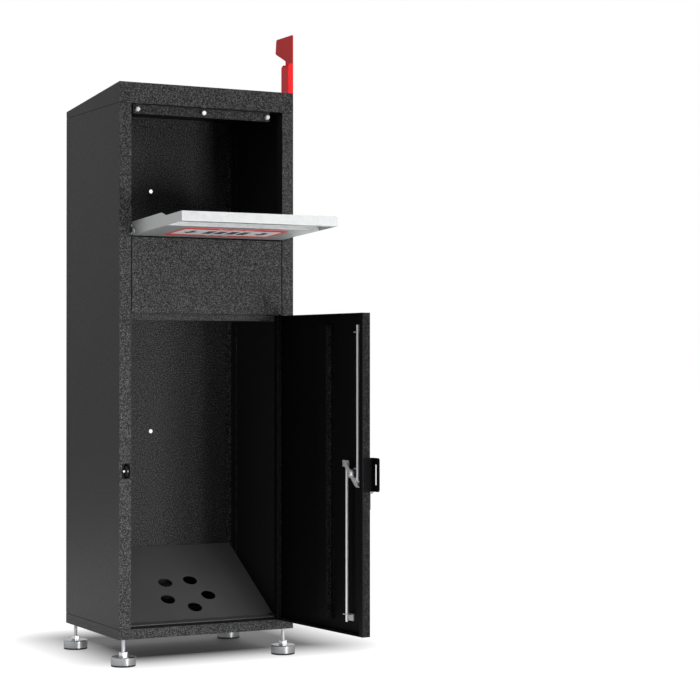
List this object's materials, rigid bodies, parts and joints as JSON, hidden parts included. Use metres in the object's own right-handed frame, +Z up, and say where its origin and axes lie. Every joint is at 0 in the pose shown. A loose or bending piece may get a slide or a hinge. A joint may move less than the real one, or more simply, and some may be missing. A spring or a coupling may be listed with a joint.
{
  "type": "parcel drop box",
  "caption": "Floor-standing steel parcel drop box with a tip-out hopper, a lockable door with bolt rods, a hasp, a signal flag and levelling feet.",
  "frame": {"origin": "on the floor under the middle of the model's bounding box, with the hopper and door open as stored", "axes": "+X to the right of someone facing the front, +Y from the front face into the cabinet, +Z up"},
  "size_m": [0.4453, 0.698, 1.341],
  "materials": {
    "powder_coat_black": "fine wrinkle powder coat",
    "door_coat_black": "fine wrinkle powder coat outside, plain black inside",
    "satin_grey": "smooth satin paint, charcoal",
    "gloss_black": "smooth gloss black",
    "galvanised_sheet": "pale galvanised sheet, satin",
    "label_vinyl": "printed vinyl",
    "flag_red": "satin red powder coat",
    "flag_bright": "gloss red powder coat",
    "zinc_plate": "bright zinc plate",
    "chrome_plate": "polished",
    "nickel_key": "nickel plate, fine scratches",
    "rubber_black": "moulded rubber",
    "nylon_white": "moulded nylon",
    "black_plastic": "moulded plastic"
  },
  "bodies": {
    "cabinet": {"left_side_panel": "powder_coat_black", "right_side_panel": "powder_coat_black", "rear_panel": "powder_coat_black", "roof_cap": "powder_coat_black", "base_pan": "powder_coat_black", "front_panel": "powder_coat_black", "door_stop_rail": "powder_coat_black", "sloped_floor": "satin_grey", "hopper_top_rail": "powder_coat_black", "hopper_bumpers": "nylon_white", "hopper_magnet": "zinc_plate", "hopper_pivot_pins": "zinc_plate", "hopper_stop_pins": "zinc_plate", "frame_hinge_leaves": "gloss_black", "hinge_pins": "gloss_black", "staple_plate": "gloss_black", "staple_loop": "gloss_black", "staple_screws": "zinc_plate", "flag_bracket": "powder_coat_black", "flag_washer": "nylon_white", "flag_rivet": "flag_red", "foot_lock_nuts": "zinc_plate"},
    "hopper": {"hopper_lid": "galvanised_sheet", "hopper_label": "label_vinyl"},
    "door": {"door_panel": "door_coat_black", "door_stiffener": "door_coat_black", "door_hinge_leaves": "gloss_black", "lock_body": "chrome_plate", "lock_surround": "black_plastic", "lock_nut": "zinc_plate", "rod_guides": "zinc_plate", "hasp_plate": "gloss_black", "hasp_rivets": "gloss_black"},
    "lock": {"lock_plug": "chrome_plate", "lock_cam": "zinc_plate", "cam_screw": "zinc_plate", "key": "nickel_key"},
    "key_ring": {"key_ring": "nickel_key", "spare_key": "nickel_key"},
    "upper_rod": {"upper_rod": "zinc_plate"},
    "lower_rod": {"lower_rod": "zinc_plate"},
    "flag": {"flag": "flag_red", "flag_channel": "flag_bright"},
    "foot_fl": {"foot_stud_fl": "zinc_plate", "foot_pad_fl": "chrome_plate", "foot_rubber_fl": "rubber_black"},
    "foot_fr": {"foot_stud_fr": "zinc_plate", "foot_pad_fr": "chrome_plate", "foot_rubber_fr": "rubber_black"},
    "foot_bl": {"foot_stud_bl": "zinc_plate", "foot_pad_bl": "chrome_plate", "foot_rubber_bl": "rubber_black"},
    "foot_br": {"foot_stud_br": "zinc_plate", "foot_pad_br": "chrome_plate", "foot_rubber_br": "rubber_black"}
  },
  "joints": [
    {"name": "hopper_tilt", "type": "hinge", "parent": "cabinet", "child": "hopper", "pos_m": [-0.01265, 0.02648, 0.8965], "axis": [1, 0, 0], "range_deg": [-87, 0]},
    {"name": "door_swing", "type": "hinge", "parent": "cabinet", "child": "door", "pos_m": [0.16015, 0.01948, 0.404], "axis": [0, 0, 1], "range_deg": [-95, 15]},
    {"name": "lock_turn", "type": "hinge", "parent": "door", "child": "lock", "pos_m": [0.18371, -0.2786, 0.404], "axis": [-0.9962, -0.0872, 0], "range_deg": [0, 90]},
    {"name": "key_ring_swing", "type": "hinge", "parent": "lock", "child": "key_ring", "pos_m": [0.21061, -0.27625, 0.404], "axis": [-0.0872, 0.9962, 0], "range_deg": [-60, 0]},
    {"name": "upper_rod_slide", "type": "slide", "parent": "door", "child": "upper_rod", "axis": [0, 0, 1], "range_m": [0, 0.04]},
    {"name": "lower_rod_slide", "type": "slide", "parent": "door", "child": "lower_rod", "axis": [0, 0, 1], "range_m": [-0.04, 0]},
    {"name": "flag_raise", "type": "hinge", "parent": "cabinet", "child": "flag", "pos_m": [0.19835, 0.06448, 1.143], "axis": [1, 0, 0], "range_deg": [-90, 0]},
    {"name": "foot_fl_turn", "type": "hinge", "parent": "cabinet", "child": "foot_fl", "pos_m": [-0.19665, 0.03898, 0.03], "axis": [0, 0, 1], "continuous": true},
    {"name": "foot_fr_turn", "type": "hinge", "parent": "cabinet", "child": "foot_fr", "pos_m": [0.17135, 0.03898, 0.03], "axis": [0, 0, 1], "continuous": true},
    {"name": "foot_bl_turn", "type": "hinge", "parent": "cabinet", "child": "foot_bl", "pos_m": [-0.19665, 0.32298, 0.03], "axis": [0, 0, 1], "continuous": true},
    {"name": "foot_br_turn", "type": "hinge", "parent": "cabinet", "child": "foot_br", "pos_m": [0.17135, 0.32298, 0.03], "axis": [0, 0, 1], "continuous": true}
  ],
  "couplings": [
    {"joint": "upper_rod_slide", "follows": "lock_turn", "m_per_rad": 0.02546},
    {"joint": "lower_rod_slide", "follows": "lock_turn", "m_per_rad": -0.02546}
  ]
}
